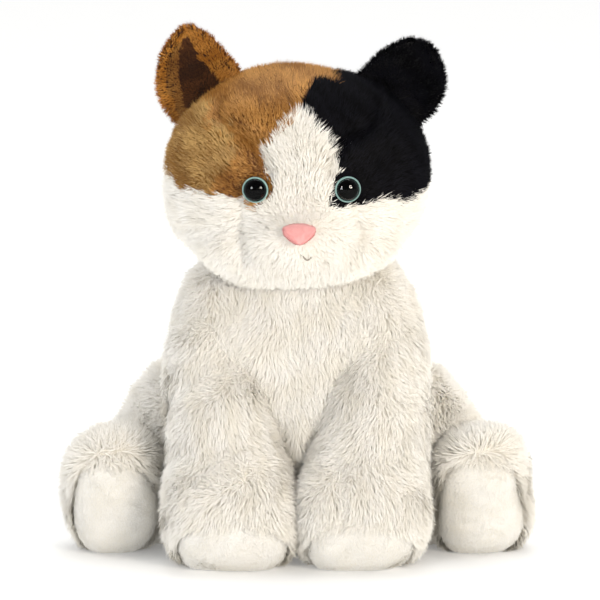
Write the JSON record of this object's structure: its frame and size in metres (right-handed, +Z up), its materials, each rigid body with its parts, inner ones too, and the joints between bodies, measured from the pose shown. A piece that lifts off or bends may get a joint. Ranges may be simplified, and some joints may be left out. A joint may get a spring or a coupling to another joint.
{
  "type": "plush cat",
  "caption": "Sitting plush cat of sewn pile panels over stuffing, with posable head, ears, legs and tail, plastic eyes and a bean pouch in the seat.",
  "frame": {"origin": "on the floor under the middle of the bounding box", "axes": "+Z up; the cat faces -Y, and its own right side is -X"},
  "size_m": [0.2498, 0.2013, 0.2875],
  "materials": {
    "white_pile": "matte",
    "brown_pile": "matte",
    "black_pile": "matte",
    "ear_lining": "matte",
    "sole_plush": "matte",
    "nose_plush": "matte",
    "eye_plastic": "gloss",
    "washer_plastic": "satin",
    "polyester_fibre": "matte",
    "pouch_cloth": "matte",
    "pellet_plastic": "satin",
    "thread": "matte"
  },
  "bodies": {
    "torso": {"chest_panel": "white_pile", "right_back_panel": "white_pile", "left_back_panel": "white_pile", "base_panel": "white_pile", "torso_stuffing": "polyester_fibre", "bean_pouch": "pouch_cloth", "bean_pellets": "pellet_plastic"},
    "neck": {"neck_stuffing": "polyester_fibre"},
    "head": {"brown_crown_panel": "brown_pile", "black_crown_panel": "black_pile", "muzzle_panel": "white_pile", "right_cheek_panel": "white_pile", "left_cheek_panel": "white_pile", "nape_panel": "white_pile", "head_stuffing": "polyester_fibre", "nose": "nose_plush", "mouth_stitching": "thread", "right_eye": "eye_plastic", "left_eye": "eye_plastic", "right_eye_washer": "washer_plastic", "left_eye_washer": "washer_plastic"},
    "tail": {"tail_skin": "brown_pile", "tail_stuffing": "polyester_fibre"},
    "right_front_leg": {"right_front_leg_skin": "white_pile", "right_front_paw_sole": "sole_plush", "right_front_leg_stuffing": "polyester_fibre"},
    "right_hind_leg": {"right_hind_leg_skin": "white_pile", "right_hind_foot_sole": "sole_plush", "right_hind_leg_stuffing": "polyester_fibre"},
    "right_ear": {"right_ear_front": "ear_lining", "right_ear_back": "brown_pile"},
    "left_front_leg": {"left_front_leg_skin": "white_pile", "left_front_paw_sole": "sole_plush", "left_front_leg_stuffing": "polyester_fibre"},
    "left_hind_leg": {"left_hind_leg_skin": "white_pile", "left_hind_foot_sole": "sole_plush", "left_hind_leg_stuffing": "polyester_fibre"},
    "left_ear": {"left_ear_front": "black_pile", "left_ear_back": "black_pile"}
  },
  "joints": [
    {"name": "head_turn", "type": "hinge", "parent": "torso", "child": "neck", "pos_m": [0, -0.026, 0.15], "axis": [0, 0, 1], "range_deg": [-30, 30], "stiffness_Nm_per_rad": 0.3},
    {"name": "head_nod", "type": "hinge", "parent": "neck", "child": "head", "pos_m": [0, -0.026, 0.15], "axis": [1, 0, 0], "range_deg": [-12, 12], "stiffness_Nm_per_rad": 0.5},
    {"name": "tail_swing", "type": "hinge", "parent": "torso", "child": "tail", "pos_m": [0, 0.048, 0.026], "axis": [0, 0, 1], "range_deg": [-8, 30], "stiffness_Nm_per_rad": 0.05},
    {"name": "right_front_leg_lift", "type": "hinge", "parent": "torso", "child": "right_front_leg", "pos_m": [-0.0465, -0.042, 0.112], "axis": [-1, 0, 0], "range_deg": [0, 40], "stiffness_Nm_per_rad": 0.2},
    {"name": "right_hind_leg_lift", "type": "hinge", "parent": "torso", "child": "right_hind_leg", "pos_m": [-0.0583, 0.004, 0.042], "axis": [-1, 0, 0], "range_deg": [0, 28], "stiffness_Nm_per_rad": 0.2},
    {"name": "left_front_leg_lift", "type": "hinge", "parent": "torso", "child": "left_front_leg", "pos_m": [0.0465, -0.042, 0.112], "axis": [-1, 0, 0], "range_deg": [0, 40], "stiffness_Nm_per_rad": 0.2},
    {"name": "left_hind_leg_lift", "type": "hinge", "parent": "torso", "child": "left_hind_leg", "pos_m": [0.0583, 0.004, 0.042], "axis": [-1, 0, 0], "range_deg": [0, 28], "stiffness_Nm_per_rad": 0.2},
    {"name": "right_ear_fold", "type": "hinge", "parent": "head", "child": "right_ear", "pos_m": [-0.0495, -0.025, 0.2485], "axis": [0.7733, -0.047, 0.6323], "range_deg": [-15, 30], "stiffness_Nm_per_rad": 0.05},
    {"name": "left_ear_fold", "type": "hinge", "parent": "head", "child": "left_ear", "pos_m": [0.0525, -0.025, 0.2485], "axis": [0.7733, 0.047, -0.6323], "range_deg": [-15, 30], "stiffness_Nm_per_rad": 0.05}
  ]
}
